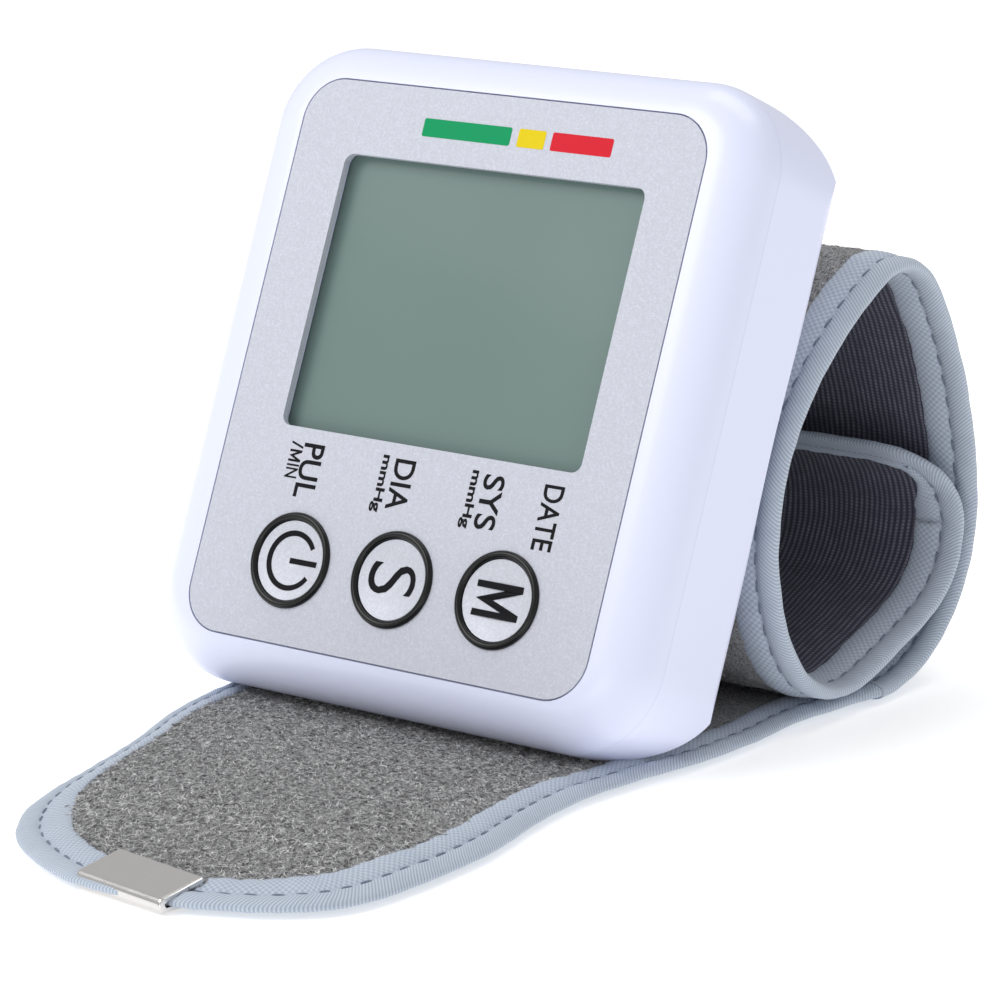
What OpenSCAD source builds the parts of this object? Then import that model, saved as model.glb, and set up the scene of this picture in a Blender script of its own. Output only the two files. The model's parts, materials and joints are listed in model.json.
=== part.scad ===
// Wrist blood pressure monitor: a display case on a bound wrist cuff that is
// curled into a closed loop, with the cuff's free strap lying out in front.
// Millimetres, +Z up, +X along the loop's axis, the strap points to -Y.
// Origin: centre of the footprint, on the floor under the cuff.

/* [Case] */
// Width of the case across the display
case_w = 72; // [72:0.5:73]
// Height of the case along its face
case_h = 78.4; // [78:0.1:78.8]
// Depth of the case from the face to the deepest part of the back
case_d = 19; // [18.8:0.1:19.2]
// Wall thickness of both shells
wall = 1.5; // [1.3:0.1:1.6]
// Lean of the face back from upright, in degrees
lean = 22.3; // [21.5:0.1:22.5]
// Height of the middle of the face above the floor
face_z = 41.6; // [41.5:0.1:42.5]
// Distance of the middle of the face behind the origin
face_y = 5.85; // [5.5:0.05:5.9]

/* [Face] */
// Width of the silver panel
panel_w = 58.5; // [56:0.5:59]
// Height of the silver panel
panel_h = 67.8; // [66:0.2:68]
// Width of the display window
window_w = 43.9; // [40:0.1:44]
// Height of the display window
window_h = 33.3; // [30:0.1:33.5]
// Height of the window's middle above the middle of the face
window_y = 8.4; // [8:0.1:9]
// Outer diameter of the ring round each button
ring_d = 11.5; // [11:0.1:12]
// Diameter of each button cap
button_d = 9.5; // [9:0.1:9.5]
// Distance between neighbouring buttons
button_pitch = 15.25; // [14.5:0.05:15.5]
// Height of the button row, from the middle of the face
button_y = -24; // [-24.5:0.1:-23.5]

/* [Cuff] */
// Half the width of the cuff
cuff_half = 36.6; // [36:0.1:37]
// Width of the edge binding
binding_w = 6; // [5:0.1:7]
// Thickness of the padded loop
cuff_t = 2.4; // [2.3:0.1:2.5]
// Thickness of the free strap
strap_t = 1.8; // [1.6:0.1:1.9]
// Width of the metal clip at the strap's end
clip_w = 14; // [12:0.5:15]

/* [Hidden] */
$fn = 64;
eps = 0.05;
corner_r = 11;
front_r = 6;
back_r = 12.5;
side_r = 3;
back_dip = 2.5;
dip_r = 115;
split_z = -5.5;
panel_t = 0.8;
panel_gap = 0.2;
deck_z = -1.8;
board_z = -4.6;
board_t = 1;
ring_bore = button_d + 0.2;
key_travel = 0.6;
cell_r = 5.25;
cell_l = 44.5;
cell_x = -31;
cell_z = -10.9;
cell_low_y = -30.2;
cell_high_y = -19.3;
spring_x = cell_x + cell_l;
wall_x = spring_x + 2.8;
tube_r = 1.8;
tube_z = -11.2;
nozzle_x = 8;
nozzle_r = 2;
screws = [[30, -32], [-31, -9], [30, 32], [-30, 32]];
saddle_screw_x = 16;
saddle_y = -2;

// Cuff layers, as distances outward from the middle of its thickness
skin_out = cuff_t / 2;
fleece_in = 0.3;
core_in = -0.4;
lining_in = 0.1 - cuff_t / 2;
layer_half = cuff_half - binding_w;

// The loop's bends, from the floor up the back, over, down the front and
// round inside the back again: radius, then angle turned
bends = [[20, 54.5], [19.5, 41.5], [54, 30], [9, 78.5], [49, 21.5], [31.5, 10],
         [24.5, 70], [14, 71], [131, 6.5], [11.1, 89], [9.5, 19.5], [40, 4]];
loop_start_y = 45.5;
last_bend = len(bends) - 1;
curl_bend = 9;
end_bend = 10;

// Heading, start point and centre of each bend in the Y-Z plane
function heading(i) = i == 0 ? 0 : heading(i - 1) + bends[i - 1][1];
function start(i) = i == 0 ? [loop_start_y, cuff_t / 2]
    : middle(i - 1) + bends[i - 1][0] * [sin(heading(i)), -cos(heading(i))];
function middle(i) = start(i) + bends[i][0] * [-sin(heading(i)), cos(heading(i))];

// Outline of the strap seen from above, round its tip
strap_line = [[cuff_half, loop_start_y], [34.3, 32], [34.8, 21.5], [34.6, 11], [33, 0.6],
              [32.3, -10], [33.6, -20.3], [35.8, -30.8], [36.4, -41.2], [36, -50],
              [34.2, -55.5], [30.6, -59.4], [25.5, -62.6], [20, -64.8], [13, -65.6],
              [6, -65.2], [-1, -62.6], [-7.5, -58.4], [-12.2, -52.5], [-15, -46],
              [-17.8, -36], [-20.9, -25.5], [-25, -15], [-27, -8], [-28.6, 1],
              [-30.6, 12], [-33.6, 28], [-cuff_half, loop_start_y]];
fold_y = -10;
clip_x = 12.9;
clip_l = 9.3;
clip_t = 2.2;
clip_sheet = 0.5;
clip_front = middle(1)[0] + bends[1][0] + skin_out;

// ---- placing ----

// Case coordinates: x across the face, y up the face, z out of the face
module in_case() translate([0, face_y, face_z]) rotate([90 - lean, 0, 0]) children();

// A cylinder along x from x0 to x1
module bar_x(r, x0, x1) translate([x0, 0, 0]) rotate([0, 90, 0]) cylinder(r = r, h = x1 - x0);

module box(x0, x1, y0, y1, z0, z1) translate([x0, y0, z0]) cube([x1 - x0, y1 - y0, z1 - z0]);

module round_rect(w, h, r) {
    square([w - 2 * r, h], center = true);
    square([w, h - 2 * r], center = true);
    for (sx = [-1, 1], sy = [-1, 1]) translate([sx * (w / 2 - r), sy * (h / 2 - r)]) circle(r);
}

module plate(w, h, r, z0, z1) translate([0, 0, z0]) linear_extrude(z1 - z0) round_rect(w, h, r);

// ---- case shape ----

// Half profile of a slab with its top outer edge rounded, from x = 0 outwards
module edge_profile(half, depth, r) {
    intersection() {
        square([half, depth]);
        union() {
            square([half - r, depth]);
            square([half, depth - r]);
            translate([half - r, depth - r]) circle(r);
        }
    }
}

module full_profile(half, depth, r) {
    edge_profile(half, depth, r);
    mirror([1, 0]) edge_profile(half, depth, r);
}

// A block rounded at its corners, with the front edge rounded all round
module soft_block(w, h, r, edge, z0, z1) {
    depth = z1 - z0;
    for (sx = [-1, 1], sy = [-1, 1])
        translate([sx * (w / 2 - r), sy * (h / 2 - r), z0]) rotate_extrude() edge_profile(r, depth, edge);
    translate([0, h / 2 - r, z0]) rotate([90, 0, 0])
        linear_extrude(h - 2 * r) full_profile(w / 2, depth, edge);
    translate([r - w / 2, 0, z0]) rotate([90, 0, 90])
        linear_extrude(w - 2 * r) full_profile(h / 2, depth, edge);
}

// Profile from the side: square front, large radii at the back
module back_profile(half, depth, r) {
    translate([-half, -depth + r]) square([2 * half, depth - r + 1]);
    translate([r - half, -depth]) square([2 * (half - r), depth]);
    for (s = [-1, 1]) translate([s * (half - r), r - depth]) circle(r);
}

// The solid case, shrunk by g on every side
module case_solid(g) {
    difference() {
        intersection() {
            soft_block(case_w - 2 * g, case_h - 2 * g, corner_r - g, front_r - g, -case_d - 1, -g);
            translate([-case_w, 0, 0]) rotate([90, 0, 90])
                linear_extrude(2 * case_w) back_profile(case_h / 2 - g, case_d - g, back_r - g);
            translate([0, case_h, 0]) rotate([90, 0, 0])
                linear_extrude(2 * case_h) back_profile(case_w / 2 - g, case_d - g, side_r - g);
        }
        translate([0, 0, back_dip - case_d - dip_r]) bar_x(dip_r + g, -case_w, case_w, $fn = 360);
    }
}

// The hatch in the left side that the cells go in through
module hatch(gap) box(-case_w, -30, -36.2 + gap, -13.3 - gap, -16.4 + gap, -5.9 - gap);

module front_case() color([0.9, 0.91, 0.98]) in_case() {
    difference() {
        intersection() {
            case_solid(0);
            box(-case_w, case_w, -case_h, case_h, split_z, 1);
        }
        intersection() {
            case_solid(wall);
            box(-case_w, case_w, -case_h, case_h, split_z - 1, deck_z);
        }
        plate(panel_w + 2 * panel_gap, panel_h + 2 * panel_gap, 5.4, -panel_t, 1);
        translate([0.4, window_y, 0]) plate(window_w + 1.2, window_h + 1.2, 1.8, deck_z - 1, 0);
        for (i = [-1, 0, 1]) translate([i * button_pitch, button_y, deck_z - 1]) cylinder(d = ring_d, h = 3);
    }
    for (p = screws) translate([p[0], p[1], 0]) difference() {
        translate([0, 0, -7.5]) cylinder(r = 2.5, h = 7.5 + deck_z);
        translate([0, 0, -8]) cylinder(r = 1, h = 5);
    }
}

module rear_case() color([0.88, 0.89, 0.97]) in_case() difference() {
    union() {
        difference() {
            intersection() {
                case_solid(0);
                box(-case_w, case_w, -case_h, case_h, -case_d - 1, split_z);
            }
            case_solid(wall);
        }
        intersection() {
            case_solid(wall - 0.3);
            union() {
                for (p = screws) translate([p[0], p[1], -case_d]) cylinder(r = 3, h = case_d - 7.5);
                box(-34, wall_x + 1.2, -13, -11.8, -case_d, -6.2);
                box(wall_x, wall_x + 1.2, -case_h / 2, -12, -case_d, -6.2);
            }
        }
    }
    hatch(0);
    for (p = screws) translate([p[0], p[1], -case_d - 1]) {
        cylinder(r = 1.1, h = case_d);
        cylinder(r = 2.1, h = case_d + 1 - 9.9);
    }
    for (s = [-1, 1]) translate([s * saddle_screw_x, saddle_y, -case_d - 1]) cylinder(r = 1.25, h = 8);
    translate([nozzle_x, 0, -case_d - 1]) cylinder(r = nozzle_r, h = 8);
}

module front_panel() color([0.82, 0.83, 0.87]) in_case() difference() {
    plate(panel_w, panel_h, 5.2, -panel_t, 0);
    translate([0.4, window_y, 0]) plate(window_w, window_h, 1.3, -1, 1);
    for (i = [-1, 0, 1]) translate([i * button_pitch, button_y, -1]) cylinder(d = ring_d, h = 2);
}

// ---- display and electronics ----

module lcd_glass() color([0.5, 0.58, 0.56]) in_case()
    translate([0.4, window_y, 0]) plate(window_w + 4, window_h + 4, 0.5, -4.1, -1.9);

module lcd_strips() color([0.9, 0.5, 0.6]) in_case() {
    for (s = [-1, 1]) translate([0.4, window_y + s * (window_h / 2 + 0.6), 0])
        box(-22, 22, -0.9, 0.9, board_z, -4.1);
}

module main_board() color([0.1, 0.4, 0.25]) in_case() difference() {
    plate(65, 72, 8, board_z - board_t, board_z);
    for (p = screws) translate([p[0], p[1], -7]) cylinder(r = 2.7, h = 4);
}

module controller_chip() color([0.1, 0.1, 0.1]) in_case()
    box(-17, -8, -8.5, 0.5, board_z - board_t - 1, board_z - board_t);

module pressure_sensor() color([0.85, 0.85, 0.8]) in_case() {
    box(-4, 4, 0, 8, -8.6, board_z - board_t);
    translate([0, 4, tube_z + tube_r]) cylinder(r = 1.4, h = -8.6 - tube_z - tube_r + eps);
}

module buzzer() color([0.12, 0.12, 0.12]) in_case()
    translate([-20, 12, -8.6]) cylinder(r = 4.5, h = 3);

module key_domes() color([0.75, 0.75, 0.72]) in_case() {
    for (i = [-1, 0, 1]) translate([i * button_pitch, button_y, board_z]) cylinder(r = 3, h = 0.5);
}

// ---- buttons ----

module button_rings() color([0.05, 0.05, 0.05]) in_case() {
    for (i = [-1, 0, 1]) translate([i * button_pitch, button_y, 0]) rotate_extrude() {
        translate([ring_bore / 2, deck_z]) square([(ring_d - ring_bore) / 2, 0.1 - deck_z]);
        translate([(ring_d + ring_bore) / 4, 0.1]) circle((ring_d - ring_bore) / 4);
    }
}

// A cap with a dished top, a flange that stops it and a stem over its dome
module button(i) in_case() translate([i * button_pitch, button_y, 0]) difference() {
    union() {
        translate([0, 0, -2]) cylinder(d = button_d, h = 2.1);
        translate([0, 0, -2.7]) cylinder(d = ring_d - 0.3, h = 0.8);
        translate([0, 0, board_z + 0.5 + key_travel + 0.1]) cylinder(r = 1.5, h = 1.5);
    }
    translate([0, 0, 30 - 0.3]) sphere(r = 30);
}

module power_button() color([0.82, 0.83, 0.87]) button(-1);
module set_button() color([0.82, 0.83, 0.87]) button(0);
module memory_button() color([0.82, 0.83, 0.87]) button(1);

// ---- air system ----

module air_pump() color([0.2, 0.2, 0.22]) in_case() box(-2, 12, 21.5, 32.3, -15.8, -5.8);

module pump_motor() color([0.75, 0.76, 0.78]) in_case() translate([0, 27, -11.3]) {
    bar_x(5, -20, -2);
    bar_x(1.6, -21.2, -20);
}

module release_valve() color([0.7, 0.7, 0.72]) in_case() translate([0, 12, -9.6]) {
    bar_x(3.5, 14, 26);
    bar_x(1.2, 26, 27.5);
}

module tube_runs(r, over) {
    translate([nozzle_x, 21.5 + over, tube_z]) rotate([90, 0, 0]) cylinder(r = r, h = 23 + over);
    translate([0, 12, tube_z]) bar_x(r, nozzle_x, 14 + over);
    translate([0, 4, tube_z]) bar_x(r, -1.8, nozzle_x);
}

module air_tubes() color([0.85, 0.85, 0.8]) in_case() difference() {
    tube_runs(tube_r, 0);
    tube_runs(0.9, 0.5);
    translate([nozzle_x, 0, tube_z - 3]) cylinder(r = 0.9, h = 3);
}

module air_nozzle() color([0.9, 0.9, 0.95]) in_case() translate([nozzle_x, 0, -19.5]) difference() {
    cylinder(r = nozzle_r, h = 19.5 + tube_z - tube_r);
    translate([0, 0, -1]) cylinder(r = 1, h = 10);
}

// ---- power ----

module cell(y) in_case() translate([0, y, cell_z]) {
    bar_x(cell_r, cell_x, cell_x + cell_l - 0.8);
    bar_x(1.9, cell_x + cell_l - 0.8, cell_x + cell_l);
}

module cell_lower() color([0.15, 0.3, 0.6]) cell(cell_low_y);
module cell_upper() color([0.15, 0.3, 0.6]) cell(cell_high_y);

module cell_contacts() color([0.8, 0.8, 0.78]) in_case() {
    for (y = [cell_low_y, cell_high_y]) box(wall_x - 0.4, wall_x, y - 3.5, y + 3.5, -14.5, -7.3);
}

module contact_springs() color([0.8, 0.8, 0.78]) in_case() {
    for (y = [cell_low_y, cell_high_y]) translate([spring_x, y, cell_z]) rotate([0, 90, 0])
        rotate_extrude() polygon([[1, 0], [1.5, 0], [3.5, 2.4], [3, 2.4]]);
}

module battery_door() color([0.88, 0.89, 0.97]) in_case() difference() {
    intersection() {
        case_solid(0);
        hatch(0.15);
    }
    case_solid(wall);
}

module case_screws() color([0.7, 0.7, 0.72]) in_case() {
    for (p = screws) translate([p[0], p[1], 0]) {
        translate([0, 0, -11.3]) cylinder(r = 1.9, h = 1.4);
        translate([0, 0, -9.95]) cylinder(r = 1, h = 6.4);
    }
}

// ---- cuff ----

// Stations along bends i0 to i1, about 5 degrees apart: bend and heading
function stations(i0, i1) = concat(
    [for (i = [i0 : i1]) let (n = ceil(bends[i][1] / 5))
        for (j = [0 : n - 1]) [i, heading(i) + bends[i][1] * j / n]],
    [[i1, heading(i1 + 1)]]);

// The point at a station, at a distance outward from the cuff's middle
function point_at(s, out) = middle(s[0]) + (bends[s[0]][0] + out) * [sin(s[1]), -cos(s[1])];

// A layer that follows bends i0 to i1, from offset a to offset b outward
module layer(i0, i1, a, b, x0, x1) {
    line = stations(i0, i1);
    last = len(line) - 1;
    translate([x0, 0, 0]) rotate([90, 0, 90]) linear_extrude(x1 - x0)
        polygon(concat([for (s = line) point_at(s, a)], [for (k = [0 : last]) point_at(line[last - k], b)]));
}

// The curved block between the case's back and the front of the loop
module cuff_saddle() color([0.8, 0.81, 0.86]) difference() {
    in_case() intersection() {
        box(-24, 24, -15, 10, -24, -15.5);
        translate([0, 0, back_dip - case_d - dip_r]) bar_x(dip_r, -30, 30, $fn = 360);
    }
    for (i = [5, 6]) translate([0, middle(i)[0], middle(i)[1]]) bar_x(bends[i][0] + skin_out + 0.02, -30, 30);
    in_case() for (s = [-1, 1]) translate([s * saddle_screw_x, saddle_y, -18.4]) cylinder(r = 1, h = 5);
    in_case() translate([nozzle_x, 0, -24]) cylinder(r = nozzle_r, h = 10);
}

module saddle_screws() color([0.7, 0.7, 0.72]) in_case() {
    for (s = [-1, 1]) translate([s * saddle_screw_x, saddle_y, 0]) {
        translate([0, 0, -18.4]) cylinder(r = 1, h = 3.6);
        translate([0, 0, -14.95]) cylinder(r = 2.2, h = 1.3);
    }
}

module cuff_fleece() color([0.45, 0.45, 0.46]) difference() {
    layer(0, curl_bend, fleece_in, skin_out, -layer_half, layer_half);
    in_case() translate([nozzle_x, 0, -24]) cylinder(r = nozzle_r, h = 10);
}

module cuff_former() color([0.9, 0.9, 0.85])
    layer(0, 4, core_in, fleece_in, -layer_half, layer_half);

module air_bladder() color([0.3, 0.32, 0.36]) difference() {
    layer(5, curl_bend, core_in, fleece_in, -layer_half, layer_half);
    in_case() translate([nozzle_x, 0, -24]) cylinder(r = nozzle_r, h = 10);
}

module cuff_lining() color([0.2, 0.21, 0.25])
    layer(0, curl_bend, lining_in, core_in, -layer_half, layer_half);

module cuff_binding() color([0.8, 0.85, 0.9]) {
    layer(0, last_bend, -skin_out, skin_out, layer_half, cuff_half);
    layer(0, last_bend, -skin_out, skin_out, -cuff_half, -layer_half);
    layer(end_bend, last_bend, -skin_out, skin_out, -layer_half, layer_half);
}

module hook_patch() color([0.25, 0.25, 0.28])
    layer(8, 8, skin_out, skin_out + 0.8, -24, 24);

// ---- strap ----

// Each point moved inward, square to the line through its neighbours
function inset(p, d) = [for (i = [0 : len(p) - 1])
    let (a = p[max(i - 1, 0)], b = p[min(i + 1, len(p) - 1)], t = (b - a) / norm(b - a))
    p[i] + d * [t[1], -t[0]]];

module strap_area(d) polygon(inset(strap_line, d));

module strap_part(z0, z1, fixed) intersection() {
    translate([0, 0, z0]) linear_extrude(z1 - z0) children();
    if (fixed) box(-60, 60, fold_y, loop_start_y, -1, 5);
    else box(-60, 60, -90, fold_y, -1, 5);
}

// Where the clip grips, the binding runs inward under it and is pressed thin
module grip_area(grow) translate([clip_x - clip_w / 2 - grow, -clip_front - 1])
    square([clip_w + 2 * grow, clip_l + 1 + grow]);

module field_area() difference() {
    strap_area(binding_w);
    grip_area(0.3);
}

module binding_area() difference() {
    strap_area(0);
    field_area();
}

module strap_fleece() color([0.48, 0.48, 0.49]) strap_part(1.2, strap_t - 0.1, true) field_area();
module strap_core() color([0.9, 0.9, 0.85]) strap_part(0.6, 1.2, true) field_area();
module strap_backing() color([0.45, 0.45, 0.46]) strap_part(0, 0.6, true) field_area();
module strap_binding() color([0.8, 0.85, 0.9]) strap_part(0, strap_t, true) binding_area();

module flap_fleece() color([0.48, 0.48, 0.49]) strap_part(1.2, strap_t - 0.1, false) field_area();
module flap_core() color([0.9, 0.9, 0.85]) strap_part(0.6, 1.2, false) field_area();
module flap_backing() color([0.45, 0.45, 0.46]) strap_part(0, 0.6, false) field_area();

module flap_binding() color([0.8, 0.85, 0.9]) difference() {
    strap_part(0, strap_t, false) binding_area();
    translate([0, 0, clip_t - clip_sheet]) linear_extrude(9) grip_area(0.2);
    translate([0, 0, clip_sheet - 9]) linear_extrude(9) grip_area(0.2);
}

// A folded steel strip: rounded nose, slot for the binding
module end_clip() color([0.75, 0.75, 0.77]) translate([0, -clip_front, 0]) difference() {
    union() {
        translate([0, clip_t / 2, clip_t / 2]) bar_x(clip_t / 2, clip_x - clip_w / 2, clip_x + clip_w / 2);
        box(clip_x - clip_w / 2, clip_x + clip_w / 2, clip_t / 2, clip_l, 0, clip_t);
    }
    box(clip_x - clip_w, clip_x + clip_w, clip_sheet + 0.4, clip_l + 1, clip_sheet, clip_t - clip_sheet);
}

front_case();
rear_case();
front_panel();
lcd_glass();
lcd_strips();
main_board();
controller_chip();
pressure_sensor();
buzzer();
key_domes();
button_rings();
power_button();
set_button();
memory_button();
air_pump();
pump_motor();
release_valve();
air_tubes();
air_nozzle();
cell_lower();
cell_upper();
cell_contacts();
contact_springs();
battery_door();
case_screws();
cuff_saddle();
saddle_screws();
cuff_fleece();
cuff_former();
air_bladder();
cuff_lining();
cuff_binding();
hook_patch();
strap_fleece();
strap_core();
strap_backing();
strap_binding();
flap_fleece();
flap_core();
flap_backing();
flap_binding();
end_clip();
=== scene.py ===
# Wrist blood pressure monitor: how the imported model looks. Case, buttons and
# other hard parts are the CAD nodes with materials; the cuff's cloth is made here.
import json
import math

import bpy
import numpy as np
from mathutils import Matrix, Vector
from mathutils.geometry import delaunay_2d_cdt


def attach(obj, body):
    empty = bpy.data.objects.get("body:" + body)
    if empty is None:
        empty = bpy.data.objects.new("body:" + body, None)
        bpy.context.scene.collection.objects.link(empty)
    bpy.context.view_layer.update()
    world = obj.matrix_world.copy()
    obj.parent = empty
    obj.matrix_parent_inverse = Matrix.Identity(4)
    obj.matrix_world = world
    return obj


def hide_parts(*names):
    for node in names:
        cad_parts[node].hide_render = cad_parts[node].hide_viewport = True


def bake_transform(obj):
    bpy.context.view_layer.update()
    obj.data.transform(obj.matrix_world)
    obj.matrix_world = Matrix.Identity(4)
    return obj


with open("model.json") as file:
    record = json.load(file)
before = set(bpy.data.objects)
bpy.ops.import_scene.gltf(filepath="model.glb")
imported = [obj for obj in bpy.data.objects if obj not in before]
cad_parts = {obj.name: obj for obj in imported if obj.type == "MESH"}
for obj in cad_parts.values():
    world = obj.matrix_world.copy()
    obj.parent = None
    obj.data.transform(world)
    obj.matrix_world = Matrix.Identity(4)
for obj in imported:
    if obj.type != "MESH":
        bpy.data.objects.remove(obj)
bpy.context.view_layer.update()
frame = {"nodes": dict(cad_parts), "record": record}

MM = 0.001
scene = bpy.context.scene
rng = np.random.default_rng(11)

# The case's own directions: x across, y up the face, z out of the face
FACE = Matrix.Translation((0, 5.85 * MM, 41.6 * MM)) @ Matrix.Rotation(math.radians(67.7), 4, "X")
FACE_OUT = FACE.to_3x3() @ Vector((0, 0, 1))

# ---- shader helpers ----


class Shader:
    """A material's node tree, built one line at a time."""

    def __init__(self, name):
        self.material = bpy.data.materials.new(name)
        self.material.use_nodes = True
        self.tree = self.material.node_tree
        self.bsdf = next(n for n in self.tree.nodes if n.type == "BSDF_PRINCIPLED")

    def node(self, kind, inputs=None, **settings):
        n = self.tree.nodes.new("ShaderNode" + kind)
        for key, value in settings.items():
            setattr(n, key, value)
        for key, value in (inputs or {}).items():
            self.put(n.inputs[key], value)
        return n

    def put(self, socket, value):
        if isinstance(value, bpy.types.NodeSocket):
            self.tree.links.new(value, socket)
        elif isinstance(value, bpy.types.Node):
            self.tree.links.new(value.outputs[0], socket)
        else:
            socket.default_value = value

    def surface(self, **inputs):
        for key, value in inputs.items():
            self.put(self.bsdf.inputs[key.replace("_", " ").title().replace("Ior", "IOR")], value)
        return self.material

    def math(self, operation, a, b=0.0):
        return self.node("Math", {0: a, 1: b}, operation=operation)

    def mix(self, factor, a, b):
        n = self.node("Mix", data_type="RGBA")
        self.put(n.inputs["Factor"], factor)
        self.put(n.inputs[6], a)
        self.put(n.inputs[7], b)
        return n.outputs[2]

    def ramp(self, value, stops):
        n = self.node("ValToRGB", {"Fac": value})
        points = n.color_ramp.elements
        while len(points) < len(stops):
            points.new(0.5)
        for point, (position, level) in zip(points, stops):
            point.position = position
            point.color = level if len(level) == 4 else (*level, 1)
        return n

    def place(self, scale=1000, source="Object"):
        """Coordinates in millimetres: of the object, or of its cloth lengthwise and across."""
        coordinates = self.node("TexCoord")
        return self.node("Mapping", {"Vector": coordinates.outputs[source], "Scale": (scale,) * 3})

    def noise(self, where, scale, detail=3.0, roughness=0.5, distortion=0.0):
        return self.node("TexNoise", {"Vector": where, "Scale": scale, "Detail": detail,
                                      "Roughness": roughness, "Distortion": distortion})

    def bump(self, height, strength, distance):
        return self.node("Bump", {"Height": height, "Strength": strength, "Distance": distance * MM})


def colour(red, green, blue):
    """Screen colour, 0 to 255, as linear light."""
    def linear(c):
        c /= 255
        return c / 12.92 if c <= 0.04045 else ((c + 0.055) / 1.055) ** 2.4
    return (linear(red), linear(green), linear(blue), 1)


def grey(level):
    return (level, level, level)


# ---- materials ----


def plastic(name, base, rough=0.3, bump=0.02, seam=False):
    """Moulded plastic, with the case's parting line where seam is set."""
    s = Shader(name)
    where = s.place()
    fine = s.noise(where, 3.0, 4)
    roughness = s.node("MapRange", {0: s.noise(where, 0.12, 2), 3: rough - 0.03, 4: rough + 0.05})
    tone, height = base, fine.outputs[0]
    if seam:
        # Faint parting line where the two shells meet
        dot = s.node("VectorMath", {0: where, 1: tuple(FACE_OUT)}, operation="DOT_PRODUCT")
        offset = (FACE.translation / MM).dot(FACE_OUT) - 5.5
        away = s.math("ABSOLUTE", s.math("SUBTRACT", dot.outputs["Value"], offset))
        line = s.node("MapRange", {0: away, 1: 0.06, 2: 0.16, 3: 1.0, 4: 0.0})
        tone = s.mix(s.math("MULTIPLY", line, 0.12), base, colour(150, 154, 190))
        height = s.math("SUBTRACT", s.math("MULTIPLY", fine, 0.3), line)
    return s.surface(base_color=tone, roughness=roughness, coat_weight=0.15, coat_roughness=0.12,
                     normal=s.bump(height, 0.35, bump))


def silver_paint(name, base, rough):
    """Metallic paint with fine flakes."""
    s = Shader(name)
    where = s.place()
    flakes = s.node("TexVoronoi", {"Vector": where, "Scale": 5.2}, feature="F1")
    spark = s.ramp(flakes.outputs["Color"], [(0.0, grey(0.0)), (0.55, grey(0.35)), (1.0, grey(1.0))])
    soft = s.noise(where, 2.6, 5, 0.65)
    mottled = s.mix(0.5, spark, soft.outputs[0])
    dark = tuple(c * 0.80 for c in base[:3]) + (1,)
    light = tuple(min(c * 1.17, 1) for c in base[:3]) + (1,)
    return s.surface(base_color=s.mix(mottled, dark, light), metallic=0.15, roughness=rough,
                     specular_ior_level=0.35, normal=s.bump(spark, 0.25, 0.02))


def metal(name, base, rough):
    """Metal with fine brushed lines along Y."""
    s = Shader(name)
    coordinates = s.node("TexCoord")
    grain = s.node("Mapping", {"Vector": coordinates.outputs["Object"], "Scale": (300, 9000, 3000)})
    lines = s.noise(grain, 1.0, 4, 0.6)
    blot = s.noise(s.place(), 0.4, 3)
    roughness = s.node("MapRange", {0: blot, 3: rough - 0.05, 4: rough + 0.1})
    return s.surface(base_color=base, metallic=1.0, roughness=roughness,
                     normal=s.bump(lines, 0.3, 0.01))


def plain(name, base, rough=0.5, bump=0.03, scale=4.0, shine=0.5):
    """One colour with a faint grain."""
    s = Shader(name)
    grain = s.noise(s.place(), scale, 4)
    tone = s.mix(s.math("MULTIPLY", grain, 0.25), base, tuple(c * 0.7 for c in base[:3]) + (1,))
    return s.surface(base_color=tone, roughness=rough, specular_ior_level=shine,
                     normal=s.bump(grain, 0.3, bump))


def fleece_cloth(name):
    """Brushed grey loop fabric: short curled fibres, some light and some dark; the ground's mottling is
    partly the cloth's own and partly painted shade in the bump's hollows and painted highlight on its raised
    clumps.
    """
    s = Shader(name)
    where = s.place()
    strands = []
    for turn, scale in ((0.4, 1.25), (1.9, 1.0), (2.8, 1.5)):
        turned = s.node("Mapping", {"Vector": where, "Rotation": (0.3 * turn, 0.2, turn)})
        band = s.node("TexWave", {"Vector": turned, "Scale": scale * 0.45, "Distortion": 17.0, "Detail": 4.0,
                                  "Detail Scale": 1.5, "Detail Roughness": 0.62})
        strands.append(s.ramp(band.outputs["Fac"], [(0.0, grey(0.0)), (0.72, grey(0.05)), (0.97, grey(1.0))]))
    fibres = s.math("MAXIMUM", s.math("MAXIMUM", strands[0], strands[1]), strands[2])
    clumps = s.noise(where, 0.9, 6, 0.72, 0.6)
    speck = s.noise(where, 5.5, 3, 0.7)
    # Partly painted shade and highlight: the ground is darkest where the bump is lowest and lightest where it
    # is highest
    ground = s.ramp(s.math("ADD", s.math("MULTIPLY", clumps, 0.6), s.math("MULTIPLY", speck, 0.4)),
                    [(0.34, colour(28, 28, 30)), (0.5, colour(104, 104, 106)), (0.66, colour(184, 184, 186))])
    tone = s.mix(s.math("MULTIPLY", fibres, 0.62), ground, colour(208, 208, 208))
    height = s.math("ADD", clumps, s.math("MULTIPLY", speck, 0.5))
    height = s.math("ADD", s.math("MULTIPLY", fibres, 0.6), height)
    return s.surface(base_color=tone, roughness=0.95, sheen_weight=0.25, sheen_roughness=0.6,
                     specular_ior_level=0.15, normal=s.bump(height, 0.9, 0.35))


def fibre(name):
    """Grey yarn, dark in some tufts and light in others."""
    s = Shader(name)
    tufts = s.noise(s.place(), 1.3, 4, 0.7)
    tone = s.ramp(tufts, [(0.36, colour(90, 90, 92)), (0.5, colour(182, 182, 183)),
                          (0.62, colour(244, 244, 244))])
    return s.surface(base_color=tone, roughness=0.85, specular_ior_level=0.3,
                     normal=s.bump(tufts, 0.2, 0.02))


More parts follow.
